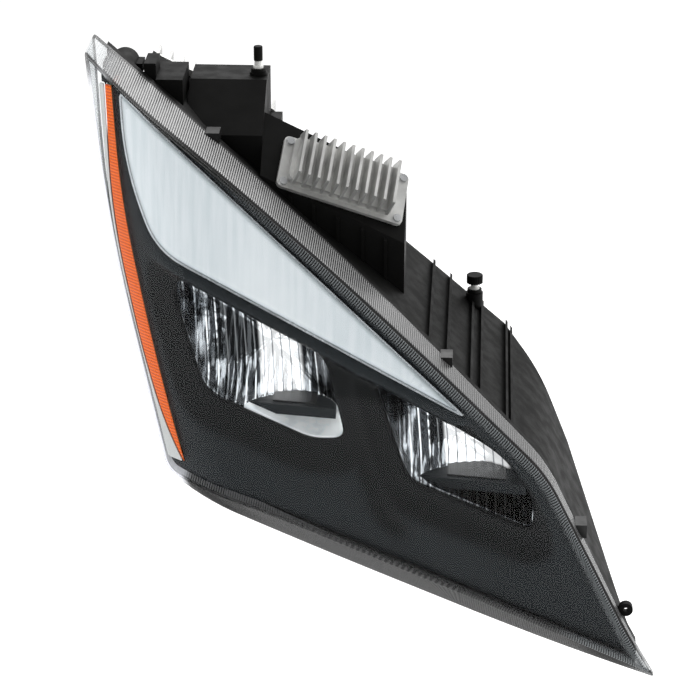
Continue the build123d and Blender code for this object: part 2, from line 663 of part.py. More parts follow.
def all_parts():
    parts = {"lens": lens(), "lens_seal": flange_ring(0, SEAL), "housing": housing(),
             "lens_clips": lens_clips(), "bezel": bezel(), "drl_light_guide": drl_light_guide(),
             "drl_trim": drl_trim(), "drl_tray": drl_tray(), "drl_led_board": drl_led_board(),
             "side_marker_lens": side_marker_lens(), "side_reflector_strip": side_reflector_strip(),
             "side_marker_board": side_marker_board(), "driver_heat_sink": driver_heat_sink(),
             "driver_gasket": driver_gasket(), "driver_board": driver_board(),
             "driver_screws": driver_screws(), "rear_heat_sink": rear_heat_sink(),
             "rear_gasket": rear_gasket(), "rear_sink_screws": rear_sink_screws(),
             "harness_connector": harness_connector(), "connector_pins": connector_pins(),
             "vent_cap": vent_cap(), "vent_membrane": vent_membrane(),
             "marker_socket": marker_socket(), "marker_bulb": marker_bulb(),
             "mount_inserts": mount_inserts()}
    makers = {"reflector": reflector, "pivot_pins": pivot_pins, "pivot_bracket": pivot_bracket,
              "led_shelf": led_shelf, "led_board": led_board, "heat_sink": beam_heat_sink,
              "aim_arm": aim_arm, "adjuster_nut": adjuster_nut, "adjuster_screw": adjuster_screw,
              "adjuster_cap": adjuster_cap, "adjuster_bush": adjuster_bush}
    for name, beam in BEAMS.items():
        for piece, maker in makers.items():
            parts[f"{name}_{piece}"] = maker(beam)
    for name, centre in COVERS.items():
        parts[f"{name}_rear_cover"] = rear_cover(centre)
        parts[f"{name}_cover_seal"] = cover_seal(centre)
    return parts


def as_shape(piece):
    """One solid, or a group of separate solids, ready to write."""
    solids = [solid for item in piece for solid in item.solids()] if isinstance(piece, list) else piece.solids()
    return solids[0] if len(solids) == 1 else Compound(solids)


if __name__ == "__main__":
    os.makedirs("parts", exist_ok=True)
    for name, piece in all_parts().items():
        export_step(as_shape(piece), f"parts/{name}.step")
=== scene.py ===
import json
import math

import bmesh
import bpy
import numpy as np
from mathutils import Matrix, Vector
from mathutils.geometry import delaunay_2d_cdt


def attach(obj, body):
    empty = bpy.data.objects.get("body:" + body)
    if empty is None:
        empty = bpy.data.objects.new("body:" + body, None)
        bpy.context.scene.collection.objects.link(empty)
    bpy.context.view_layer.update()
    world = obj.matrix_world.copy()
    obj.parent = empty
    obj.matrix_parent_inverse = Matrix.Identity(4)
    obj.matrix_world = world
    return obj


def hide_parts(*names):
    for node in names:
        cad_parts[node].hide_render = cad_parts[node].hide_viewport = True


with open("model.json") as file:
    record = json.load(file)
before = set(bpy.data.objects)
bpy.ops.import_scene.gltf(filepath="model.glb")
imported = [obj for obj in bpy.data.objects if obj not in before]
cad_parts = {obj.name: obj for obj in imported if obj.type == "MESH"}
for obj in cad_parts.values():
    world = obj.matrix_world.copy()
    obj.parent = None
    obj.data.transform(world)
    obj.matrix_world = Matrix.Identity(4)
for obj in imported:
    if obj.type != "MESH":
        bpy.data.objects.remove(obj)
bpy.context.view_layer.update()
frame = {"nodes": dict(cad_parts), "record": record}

# All lengths below are millimetres; MM turns them into Blender's metres.
MM = 0.001

# ------------------------------------------------------------------ surfaces shared with the CAD
# Front face of the lens: a plane that rolls back round its outboard edge. Parting plane behind it.
FACE_Y, FACE_DX, FACE_DZ = -269.0, -0.148, 0.181
PART_Y, PART_DX, PART_DZ = -215.0, -0.22, 0.25
ROLL_DEPTH, ROLL_WIDTH = 28.0, 70.0
EDGE_X, EDGE_TOP, EDGE_LEAN = -262.0, 288.0, 0.19
RIM_STEP = 6.0
BEZEL_DEPTH = 10.0
DRL_DEPTH = 7.0
CUP_FRONT = 22.0

# ------------------------------------------------------------------ outlines (x, z, corner trim)
FACE_CORNERS = [(-261.5, 287.5, 7), (-41, 126.5, 190), (195.8, -81, 25), (280.6, -237, 30), (303, -268.5, 5),
                (200, -234, 90), (-110, -134, 60), (-183, -120, 12), (-243, 110, 100)]
RIM_CORNERS = [(-264, 291, 7), (-40, 128, 190), (197, -80, 25), (282, -236, 30), (308, -274, 5),
               (203, -248, 90), (-40, -172, 90), (-187, -122, 14), (-250, 108, 100)]
LOW_CORNERS = [(-182, 87, 38), (-22, 13, 18), (-1, -68, 14), (-35, -71, 12), (-143, -32, 18)]
HIGH_CORNERS = [(28, -9, 8), (158, -69, 30), (186, -112, 12), (184, -143, 8), (62, -104, 14)]
DRL_CORNERS = [(-225, 255, 6), (109, -27, 4), (-191, 110, 26), (-221, 184, 45)]
AMBER_CORNERS = [(-241.5, 262, 1), (-235, 262, 1), (-228, 150, 60), (-199, 18, 50), (-177, -64, 30),
                 (-164, -106, 2), (-184, -72, 30), (-208, 0, 40), (-237, 125, 60)]
STRIP_CORNERS = [(-248, 262, 2), (-243, 262, 1), (-238.5, 125, 60), (-209.5, 0, 40), (-185.5, -72, 30),
                 (-166, -106, 2), (-182, -106, 3), (-240.5, 116, 80)]
HOUSING_LEFT, HOUSING_RIGHT = -249.0, 289.0

FLUTE_PITCH = 2.5         # flutes moulded inside the lens's wall
FLUTE_DEPTH = 0.16
STREAK_BAND = 10.0        # width of the border inside the front face that is painted with flute streaks
REAR_LIP = -5.0           # the edge measure on the rings of the rear lip
LENS_WALL = 2.0
BOWL_WALL = 1.2
BOWL_ROWS = 26


# ================================================================== outlines
def grown(corners, amount):
    """The corners moved outwards by amount, each trim kept in step with its corner."""
    turns = sum(a[0] * b[1] - b[0] * a[1] for a, b in zip(corners, corners[1:] + corners[:1]))
    side = math.copysign(1, turns)
    result = []
    for index, (x, z, trim) in enumerate(corners):
        back, ahead = corners[index - 1], corners[(index + 1) % len(corners)]
        run = Vector((x - back[0], z - back[1])).normalized()
        leave = Vector((ahead[0] - x, ahead[1] - z)).normalized()
        share = amount * side / (1 + run.dot(leave))
        bend = (run.x * leave.y - run.y * leave.x) / (1 + run.dot(leave))
        moved = (x + share * (run.y + leave.y), z - share * (run.x + leave.x))
        result.append((*moved, max(trim + amount * side * bend, 0.3)))
    return result


def fitted(corners):
    """The corners with their trims cut down where two of them don't fit on one edge."""
    trims = [corner[2] for corner in corners]
    for index, corner in enumerate(corners):
        ahead = (index + 1) % len(corners)
        length = math.dist(corner[:2], corners[ahead][:2])
        ratio = min(0.98 * length / (trims[index] + trims[ahead]), 1)
        trims[index] *= ratio
        trims[ahead] *= ratio
    return [(x, z, trim) for (x, z, _), trim in zip(corners, trims)]


def run_counts(corners, step):
    """Number of samples on each corner's curve and on the straight run after it."""
    counts = []
    for index, (x, z, trim) in enumerate(corners):
        ahead = corners[(index + 1) % len(corners)]
        straight = math.dist((x, z), ahead[:2]) - trim - ahead[2]
        counts.append((max(int(2 * trim / step), 4), max(int(straight / step), 2)))
    return counts


def loop_points(corners, counts):
    """Points round the outline: counts of them on each corner's curve and each straight run."""
    corners = fitted(corners)
    points = []
    for index, (x, z, trim) in enumerate(corners):
        corner = Vector((x, z))
        back = Vector(corners[index - 1][:2])
        ahead = corners[(index + 1) % len(corners)]
        following = Vector(ahead[:2])
        start = corner + (back - corner).normalized() * trim
        end = corner + (following - corner).normalized() * trim
        next_start = following + (corner - following).normalized() * ahead[2]
        curve, straight = counts[index]
        for step in range(curve):
            t = step / curve
            points.append(start * (1 - t) ** 2 + corner * 2 * t * (1 - t) + end * t ** 2)
        points += [end.lerp(next_start, step / straight) for step in range(straight)]
    return points


def outline(corners, amount=0.0, step=3.0):
    moved = grown(corners, amount)
    return loop_points(moved, run_counts(fitted(moved), step))


def inside(points, loop):
    """Which points lie inside the closed loop."""
    points = np.asarray(points, dtype=float)
    a = np.asarray([tuple(p) for p in loop])
    b = np.roll(a, -1, axis=0)
    result = np.zeros(len(points), dtype=bool)
    for (ax, az), (bx, bz) in zip(a, b):
        if az == bz:
            continue
        crosses = (az > points[:, 1]) != (bz > points[:, 1])
        at = ax + (points[:, 1] - az) * (bx - ax) / (bz - az)
        result ^= crosses & (points[:, 0] < at)
    return result


def distance(points, loop):
    """Distance from each point to the closed loop."""
    points = np.asarray(points, dtype=float)
    a = np.asarray([tuple(p) for p in loop])
    b = np.roll(a, -1, axis=0)
    nearest = np.full(len(points), 1e9)
    for start, end in zip(a, b):
        along = end - start
        share = ((points - start) @ along) / max(along @ along, 1e-9)
        foot = start + np.clip(share, 0, 1)[:, None] * along
        nearest = np.minimum(nearest, np.hypot(*(points - foot).T))
    return nearest


def face_y(x, z):
    """Y of the lens's front face."""
    inboard = x - (EDGE_X + EDGE_LEAN * (EDGE_TOP - z))
    roll = np.maximum(1 - inboard / ROLL_WIDTH, 0)
    return FACE_Y + FACE_DX * x + FACE_DZ * z + ROLL_DEPTH * roll * roll


def parting_y(x, z):
    return PART_Y + PART_DX * x + PART_DZ * z


def smooth(low, high, value):
    """0 below low, 1 above high, an S-curve between."""
    t = np.clip((value - low) / (high - low), 0, 1)
    return t * t * (3 - 2 * t)


# ================================================================== meshes
def new_piece(name, vertices, faces, material, body, smooth_shading=True):
    """Mesh object from millimetre vertices, riding on a CAD body."""
    mesh = bpy.data.meshes.new(name)
    mesh.from_pydata([tuple(c * MM for c in v) for v in vertices], [], faces)
    mesh.validate()
    obj = bpy.data.objects.new(name, mesh)
    bpy.context.scene.collection.objects.link(obj)
    materials = material if isinstance(material, list) else [material]
    for entry in materials:
        mesh.materials.append(entry)
    for polygon in mesh.polygons:
        polygon.use_smooth = smooth_shading
    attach(obj, body)
    return obj


def face_same_way(obj, forward):
    """Turns every face's normal towards the vector."""
    mesh = bmesh.new()
    mesh.from_mesh(obj.data)
    wrong = [face for face in mesh.faces if face.normal.dot(forward) < 0]
    bmesh.ops.reverse_faces(mesh, faces=wrong)
    mesh.to_mesh(obj.data)
    mesh.free()


def thicken(obj, thickness, offset=-1.0):
    """Gives an open sheet its wall, on the side away from its normals."""
    wall = obj.modifiers.new("wall", "SOLIDIFY")
    wall.thickness = thickness * MM
    wall.offset = offset
    wall.use_even_offset = False


def triangulated(outer, holes, spacing, creases=()):
    """Flat triangles over an outline less its holes, with a grid of points between."""
    loops = [outer, *holes, *creases]
    low, high = np.min(outer, axis=0), np.max(outer, axis=0)
    xs = np.arange(low[0], high[0], spacing)
    zs = np.arange(low[1], high[1], spacing)
    grid = np.array([(x + (row % 2) * spacing / 2, z) for row, z in enumerate(zs) for x in xs])
    keep = inside(grid, outer) & (distance(grid, outer) > spacing * 0.5)
    for hole in holes:
        keep &= ~inside(grid, hole) & (distance(grid, hole) > spacing * 0.5)
    for crease in creases:
        keep &= distance(grid, crease) > spacing * 0.4
    points = [Vector(p) for loop in loops for p in loop]
    edges, start = [], 0
    for loop in loops:
        edges += [(start + i, start + (i + 1) % len(loop)) for i in range(len(loop))]
        start += len(loop)
    points += [Vector(p) for p in grid[keep]]
    made = delaunay_2d_cdt(points, edges, [], 0, 1e-5)
    flat, faces = np.array([tuple(v) for v in made[0]]), [tuple(f) for f in made[2]]
    centres = np.array([flat[list(face)].mean(axis=0) for face in faces])
    wanted = inside(centres, outer)
    for hole in holes:
        wanted &= ~inside(centres, hole)
    return flat, [face for face, good in zip(faces, wanted) if good]


def sheet_piece(name, outer, holes, depth, spacing, material, body, creases=(), wall=2.0):
    """Thick panel behind the lens face: depth(points) says how far behind each point lies."""
    flat, faces = triangulated(outer, holes, spacing, creases)
    y = face_y(flat[:, 0], flat[:, 1]) + depth(flat)
    used = sorted({index for face in faces for index in face})
    order = {index: place for place, index in enumerate(used)}
    vertices = [(flat[i][0], y[i], flat[i][1]) for i in used]
    faces = [tuple(order[i] for i in face) for face in faces]
    obj = new_piece(name, vertices, faces, material, body)
    face_same_way(obj, Vector((0, -1, 0)))
    thicken(obj, wall)
    return obj


def ring_faces(first, second, count):
    """Quads between two rings of count vertices that start at the given indices."""
    return [(first + i, first + (i + 1) % count, second + (i + 1) % count, second + i) for i in range(count)]


# ================================================================== materials
class Nodes:
    """Short names for building one node material."""

    def __init__(self, name):
        self.material = bpy.data.materials.new(name)
        self.material.use_nodes = True
        self.tree = self.material.node_tree
        self.tree.nodes.clear()
        self.out = self.tree.nodes.new("ShaderNodeOutputMaterial")

    def add(self, kind, **values):
        node = self.tree.nodes.new("ShaderNode" + kind)
        for key, value in values.items():
            if hasattr(node, key):
                setattr(node, key, value)
            else:
                self.feed(node.inputs[key.replace("_", " ")], value)
        return node

    def feed(self, socket, value):
        if isinstance(value, bpy.types.NodeSocket):
            self.tree.links.new(value, socket)
        else:
            socket.default_value = value

    def point(self):
        return self.add("TexCoord").outputs["Object"]

    def axis(self, letter):
        split = self.add("SeparateXYZ")
        self.feed(split.inputs[0], self.point())
        return split.outputs[letter]

    def math(self, operation, *values, clamp=False):
        node = self.add("Math", operation=operation, use_clamp=clamp)
        for index, value in enumerate(values):
            self.feed(node.inputs[index], value)
        return node.outputs[0]

    def ramp(self, value, low, high, start=0.0, end=1.0):
        node = self.add("MapRange", interpolation_type="SMOOTHSTEP")
        for index, item in enumerate((value, low, high, start, end)):
            self.feed(node.inputs[index], item)
        return node.outputs[0]

    def mix(self, factor, first, second):
        node = self.add("Mix", data_type="RGBA")
        self.feed(node.inputs[0], factor)
        self.feed(node.inputs[6], first)
        self.feed(node.inputs[7], second)
        return node.outputs[2]

    def noise(self, scale, detail=4.0, stretch=(1, 1, 1)):
        mapping = self.add("Mapping")
        self.feed(mapping.inputs[0], self.point())
        mapping.inputs["Scale"].default_value = stretch
        node = self.add("TexNoise")
        self.feed(node.inputs["Vector"], mapping.outputs[0])
        node.inputs["Scale"].default_value = scale
        node.inputs["Detail"].default_value = detail
        return node.outputs[0]

    def bump(self, height, depth_mm, strength=0.5):
        node = self.add("Bump")
        node.inputs["Strength"].default_value = strength
        node.inputs["Distance"].default_value = depth_mm * MM
        self.feed(node.inputs["Height"], height)
        return node.outputs[0]

    def surface(self, **values):
        shader = self.add("BsdfPrincipled")
        for key, value in values.items():
            self.feed(shader.inputs[key.replace("_", " ")], value)
        return shader

    def done(self, shader):
        self.feed(self.out.inputs[0], shader.outputs[0])
        return self.material


def grey(value, alpha=1.0):
    return (value, value, value, alpha)


def moulded(name, dark, light, rough=(0.35, 0.55), grain=1400.0, depth=0.08, gloss=0.5):
    """Moulded plastic: fine sparked grain, slow colour drift, worn roughness."""
    n = Nodes(name)
    drift = n.noise(14.0, 3.0)
    colour = n.mix(drift, dark, light)
    roughness = n.ramp(n.noise(60.0, 5.0), 0.3, 0.7, rough[0], rough[1])
    shader = n.surface(Base_Color=colour, Roughness=roughness, Normal=n.bump(n.noise(grain, 3.0), depth))
    shader.inputs["Specular IOR Level"].default_value = gloss
    return n.done(shader)


def cast_metal(name, dark, light, rough=(0.3, 0.55), metallic=0.85, grain=700.0, depth=0.12):
    """Cast or rolled metal: grain, stains and slightly uneven gloss."""
    n = Nodes(name)
    colour = n.mix(n.ramp(n.noise(35.0, 6.0), 0.3, 0.7), dark, light)
    roughness = n.ramp(n.noise(120.0, 4.0), 0.3, 0.7, rough[0], rough[1])
    shader = n.surface(Base_Color=colour, Roughness=roughness, Metallic=metallic,
                       Normal=n.bump(n.noise(grain, 4.0), depth))
    return n.done(shader)


def clear_shell(n, gloss_rough=0.03):
    """Clear plastic as seen through thin walls: what is behind it, plus its gloss."""
    through = n.add("BsdfTransparent")
    through.inputs[0].default_value = (0.97, 0.98, 0.985, 1)
    gloss = n.add("BsdfGlossy")
    gloss.inputs["Roughness"].default_value = gloss_rough
    facing = n.add("LayerWeight").outputs["Facing"]
    sheen = n.math("MULTIPLY_ADD", n.math("POWER", facing, 4.0), 0.45, 0.008)
    shell = n.add("MixShader")
    n.feed(shell.inputs[0], sheen)
    n.feed(shell.inputs[1], through.outputs[0])
    n.feed(shell.inputs[2], gloss.outputs[0])
    return shell


def stripes(n, attribute, pitch):
    """0 to 1 across each flute, from the mesh's own measure along the outline; the lens materials use it to
    paint dark and light flute streaks.
    """
    along = n.add("Attribute", attribute_name=attribute).outputs["Fac"]
    wave = n.math("SINE", n.math("MULTIPLY", along, 2 * math.pi / pitch))
    return n.ramp(wave, -0.5, 0.5)


def outboard_edge(n):
    """1 along the lens's outboard edge, 0 over the rest."""
    x, z = n.axis("X"), n.axis("Z")
    lean = n.math("MULTIPLY_ADD", z, EDGE_LEAN, x)
    border = EDGE_X + EDGE_LEAN * EDGE_TOP
    near = n.ramp(lean, (border + 14) * MM, (border + 26) * MM, 1.0, 0.0)
    return n.math("MULTIPLY", near, n.ramp(z, 0.250, 0.285, 1.0, 0.0))


def upper_edge(n):
    """1 along the lens's upper and inboard edges, 0 along the lower and outboard ones."""
    return n.ramp(n.math("ADD", n.axis("Z"), n.axis("X")), -0.03, 0.0)


def clear_lens_material():
    """Front face: clear, with a border whose film is painted with dark and light streaks for the wall's
    flutes seen through it, the light ones painted paler along the upper and inboard edges.
    """
    n = Nodes("lens_clear")
    shell = clear_shell(n)
    edge = n.add("Attribute", attribute_name="edge").outputs["Fac"]
    # Painted light and shade: a dark and a light streak for each flute, the light ones paler along the upper
    # and inboard edges.
    streak = stripes(n, "along", FLUTE_PITCH)
    light = n.mix(upper_edge(n), grey(0.07), (0.24, 0.26, 0.27, 1))
    colour = n.mix(streak, (0.004, 0.005, 0.006, 1), light)
    film = n.surface(Base_Color=colour, Roughness=0.3)
    near_edge = n.ramp(edge, 3.0, STREAK_BAND, 0.78, 0.0)
    lift = n.ramp(n.axis("X"), -0.16, 0.02)
    cover = n.math("MULTIPLY", near_edge, lift)
    both = n.add("MixShader")
    n.feed(both.inputs[0], cover)
    n.feed(both.inputs[1], shell.outputs[0])
    n.feed(both.inputs[2], film.outputs[0])
    return n.done(both)


def fluted_wall_material():
    """Side wall: fine flutes with painted dark and light streaks, clear at the upper tip, painted paler
    outboard and near white with a painted glow along the outboard edge.
    """
    n = Nodes("lens_flutes")
    shell = clear_shell(n, 0.12)
    # Painted light and shade: a dark and a light streak for each flute, the light ones paler outboard.
    streak = stripes(n, "along", FLUTE_PITCH)
    x = n.axis("X")
    light = n.mix(n.ramp(x, -0.18, 0.16), grey(0.50), grey(0.15))
    colour = n.mix(streak, (0.008, 0.009, 0.010, 1), light)
    # Painted light: the outboard edge is painted near white and glows, and a faint glow lies over the whole
    # wall.
    outboard = outboard_edge(n)
    colour = n.mix(outboard, colour, (0.80, 0.80, 0.83, 1))
    film = n.surface(Base_Color=colour, Roughness=0.25)
    n.feed(film.inputs["Emission Color"], colour)
    n.feed(film.inputs["Emission Strength"], n.math("MULTIPLY_ADD", outboard, 0.3, 0.05))
    cover = n.ramp(x, -0.258, -0.220, 0.04, 0.88)
    both = n.add("MixShader")
    n.feed(both.inputs[0], cover)
    n.feed(both.inputs[1], shell.outputs[0])
    n.feed(both.inputs[2], film.outputs[0])
    return n.done(both)


def rim_band_material():
    """Stepped rim and lip: grey plastic with painted flute streaks, painted white with a glow outboard, and a
    painted shadow line along the upper corner.
    """
    n = Nodes("lens_rim_band")
    shell = clear_shell(n, 0.1)
    # Painted light and shade: grey streaks, darker and lighter for each flute.
    streak = stripes(n, "along", FLUTE_PITCH)
    colour = n.mix(streak, grey(0.06), grey(0.13))
    edge = n.add("Attribute", attribute_name="edge").outputs["Fac"]
    # Painted shadow: a near-black line along the upper corner of the stepped rim.
    corner = n.math("MULTIPLY", n.ramp(edge, REAR_LIP / 2, 0.0), n.ramp(n.axis("X"), -0.19, -0.15))
    colour = n.mix(n.math("MULTIPLY", corner, upper_edge(n)), colour, grey(0.006))
    # Painted light: lighter grey outboard, and near white with a glow on the outboard rim in front of the
    # rear lip.
    outboard = outboard_edge(n)
    front = n.math("MULTIPLY", outboard, n.ramp(edge, REAR_LIP, REAR_LIP + 0.6))
    colour = n.mix(outboard, colour, (0.36, 0.37, 0.39, 1))
    pale = n.mix(front, colour, (0.82, 0.82, 0.85, 1))
    film = n.surface(Base_Color=pale, Roughness=0.22)
    n.feed(film.inputs["Emission Color"], pale)
    n.feed(film.inputs["Emission Strength"], n.math("MULTIPLY", front, 0.45))
    both = n.add("MixShader")
    n.feed(both.inputs[0], n.ramp(n.axis("X"), 0.27, 0.30, 0.85, 0.12))
    n.feed(both.inputs[1], shell.outputs[0])
    n.feed(both.inputs[2], film.outputs[0])
    return n.done(both)


def light_guide_material():
    """Satin white light guide with soft vertical streaks, a painted glow, and bluish edges painted darker as
    shade along the rounded border.
    """
    n = Nodes("light_guide_satin")
    streak = n.noise(30.0, 4.0, (6.0, 1.0, 0.35))
    cloud = n.noise(9.0, 3.0)
    base = n.mix(n.ramp(streak, 0.25, 0.75), (0.68, 0.73, 0.75, 1), (0.80, 0.83, 0.85, 1))
    base = n.mix(n.ramp(cloud, 0.25, 0.6, 0.9, 0.1), base, (0.86, 0.885, 0.895, 1))
    # Painted shade: a darker bluish band along the rounded border.
    edge = n.add("Attribute", attribute_name="edge").outputs["Fac"]
    base = n.mix(n.ramp(edge, 0.0, 5.0, 0.75, 0.0), base, (0.42, 0.47, 0.49, 1))
    shader = n.surface(Base_Color=base, Roughness=0.32, Normal=n.bump(streak, 0.25, 0.35))
    # Painted light: a faint glow from emission, with no lamp lit behind it.
    n.feed(shader.inputs["Emission Color"], base)
    shader.inputs["Emission Strength"].default_value = 0.22
    shader.inputs["Coat Weight"].default_value = 0.3
    return n.done(shader)


def amber_material():
    """Amber marker lens: rows of small prisms under a glossy face, with a painted glow."""
    n = Nodes("amber_prisms")
    rows = n.math("SINE", n.math("MULTIPLY", n.axis("Z"), 2 * math.pi / (3.2 * MM)))
    shade = n.mix(n.ramp(rows, -1.0, 1.0), (0.60, 0.070, 0.0, 1), (0.88, 0.150, 0.0, 1))
    shader = n.surface(Base_Color=shade, Roughness=0.3, Normal=n.bump(rows, 0.3, 0.4))
    # Painted light: a glow from emission, with no lamp lit behind it.
    n.feed(shader.inputs["Emission Color"], shade)
    shader.inputs["Emission Strength"].default_value = 0.28
    shader.inputs["Specular IOR Level"].default_value = 0.2
    return n.done(shader)


def bezel_material():
    """Satin blue-black plastic, with painted shade darkening the pockets."""
    n = Nodes("bezel_satin_black")
    sunk = n.add("Attribute", attribute_name="sunk").outputs["Fac"]
    colour = n.mix(n.noise(14.0, 3.0), (0.013, 0.016, 0.018, 1), (0.019, 0.023, 0.026, 1))
    # Painted shade: the pockets and the valley below the raised band are painted darker the deeper they sit.
    colour = n.mix(n.ramp(sunk, 0.8, 3.5), colour, (0.003, 0.0034, 0.0038, 1))
    shader = n.surface(Base_Color=colour, Roughness=n.ramp(n.noise(60.0, 5.0), 0.3, 0.7, 0.4, 0.5),
                       Normal=n.bump(n.noise(1800.0, 3.0), 0.02, 0.2))
    shader.inputs["Specular IOR Level"].default_value = 0.2
    return n.done(shader)


def chrome_material(name, zone_x, zone_z, flute):
    """Vacuum-metallised flutes with painted reflections: white bars with a painted glow in the lit zone, thin
    bright lines on dark elsewhere, and lighter streaks on the dark.
    """
    n = Nodes(name)
    x, z = n.axis("X"), n.axis("Z")
    slanted = n.math("MULTIPLY_ADD", z, 0.10, x)
    saw = n.math("FRACT", n.math("DIVIDE", slanted, flute * MM))
    # Painted reflection: a thin line at each flute, bright on the dark chrome and dark across the white bars.
    line = n.ramp(saw, 0.10, 0.20, 1.0, 0.0)
    # Painted highlight: the slanted zone where the flutes are painted as white bars.
    zone = n.math("MULTIPLY", n.ramp(slanted, zone_x[0] - 0.002, zone_x[0] + 0.002),
                  n.ramp(slanted, zone_x[1] - 0.002, zone_x[1] + 0.004, 1.0, 0.0))
    zone = n.math("MULTIPLY", zone, n.ramp(z, zone_z[0], zone_z[0] + 0.004))
    # Painted reflection: lighter grey streaks on the dark chrome; the same streaks also bump the surface.
    reflection_streaks = n.ramp(n.noise(42.0, 4.0, (7.0, 1.0, 0.4)), 0.50, 0.60)
    dark = n.mix(reflection_streaks, (0.035, 0.038, 0.042, 1), (0.42, 0.44, 0.46, 1))
    dark = n.mix(line, dark, (0.80, 0.82, 0.84, 1))
    lit = n.mix(line, (0.98, 0.98, 0.98, 1), (0.30, 0.31, 0.33, 1))
    base = n.mix(zone, dark, lit)
    shader = n.surface(Base_Color=base, Roughness=0.14, Metallic=1.0, Normal=n.bump(reflection_streaks, 0.1, 0.2))
    # Painted glow on the white bars of the highlight zone.
    n.feed(shader.inputs["Emission Color"], lit)
    n.feed(shader.inputs["Emission Strength"], n.math("MULTIPLY", zone, 0.7))
    return n.done(shader)


def satin_chrome_material():
    """Lower half of the bowl, softly frosted, with a painted glow."""
    n = Nodes("reflector_satin")
    cloud = n.noise(45.0, 5.0)
    base = n.mix(n.ramp(cloud, 0.35, 0.65), (0.66, 0.69, 0.70, 1), (0.92, 0.94, 0.94, 1))
    shader = n.surface(Base_Color=base, Roughness=0.42, Metallic=0.55,
                       Normal=n.bump(n.noise(500.0, 4.0), 0.1))
    # Painted light: the satin bowl glows from emission.
    n.feed(shader.inputs["Emission Color"], base)
    shader.inputs["Emission Strength"].default_value = 0.38
    return n.done(shader)


def steel_material():
    return cast_metal("zinc_steel", (0.45, 0.46, 0.47, 1), (0.70, 0.71, 0.72, 1), (0.2, 0.38),
                      1.0, 1500.0, 0.04)


def board_material(name, mask, tracks):
    """Circuit board: solder mask with a hatch of tracks."""
    n = Nodes(name)
    rows = n.math("SINE", n.math("MULTIPLY", n.axis("X"), 2 * math.pi / (2.4 * MM)))
    shade = n.mix(n.ramp(rows, 0.7, 0.9), mask, tracks)
    return n.done(n.surface(Base_Color=shade, Roughness=0.35, Normal=n.bump(rows, 0.1, 0.4)))


MATERIALS = {
    "seal_rubber": moulded("rubber_seal", grey(0.008), grey(0.016), (0.6, 0.8), 900.0, 0.1, 0.2),
    "housing_black": moulded("housing_black_plastic", (0.003, 0.003, 0.003, 1), (0.006, 0.006, 0.0055, 1),
                             (0.5, 0.65), 1100.0, 0.12, 0.10),
    "spring_steel": cast_metal("spring_steel_black", grey(0.012), grey(0.03), (0.3, 0.45), 0.6, 1500.0, 0.04),
    "bezel_black": bezel_material(),
    "bright_trim": cast_metal("trim_bright", (0.50, 0.52, 0.54, 1), (0.74, 0.76, 0.78, 1), (0.18, 0.3),
                              0.9, 1800.0, 0.03),
    "white_plastic": moulded("nylon_white", (0.66, 0.66, 0.64, 1), (0.82, 0.82, 0.80, 1), (0.3, 0.45),
                             800.0, 0.06),
    "board_green": board_material("board_green", (0.01, 0.09, 0.03, 1), (0.06, 0.20, 0.08, 1)),
    "amber_lens": amber_material(),
    "bare_aluminium": cast_metal("cast_aluminium", (0.50, 0.50, 0.49, 1), (0.74, 0.74, 0.72, 1),
                                 (0.34, 0.52), 0.65),
    "steel_screws": steel_material(),
    "bulb_glass": amber_material(),
    "light_guide": light_guide_material(),
    "chrome_reflector": satin_chrome_material(),
    "clear_lens": clear_lens_material(),
}


def dress_cad_nodes():
    """Every CAD node gets the procedural material of its record slot."""
    slots = {row["node"]: row["material_slot"] for row in frame["record"]["subparts"]}
    special = {name: board_material(name + "_black", grey(0.004), grey(0.03))
               for name in ("low_led_board", "high_led_board")}
    special["low_adjuster_bush"] = special["high_adjuster_bush"] = MATERIALS["housing_black"]
    for name, obj in frame["nodes"].items():
        material = special.get(name, MATERIALS[slots[name]])
        if obj.data.materials:
            for index in range(len(obj.data.materials)):
                obj.data.materials[index] = material
        else:
            obj.data.materials.append(material)


# ================================================================== lens
def store(obj, name, values):
    """Float attribute on the mesh's vertices, which its material reads."""
    layer = obj.data.attributes.new(name, "FLOAT", "POINT")
    layer.data.foreach_set("value", values)


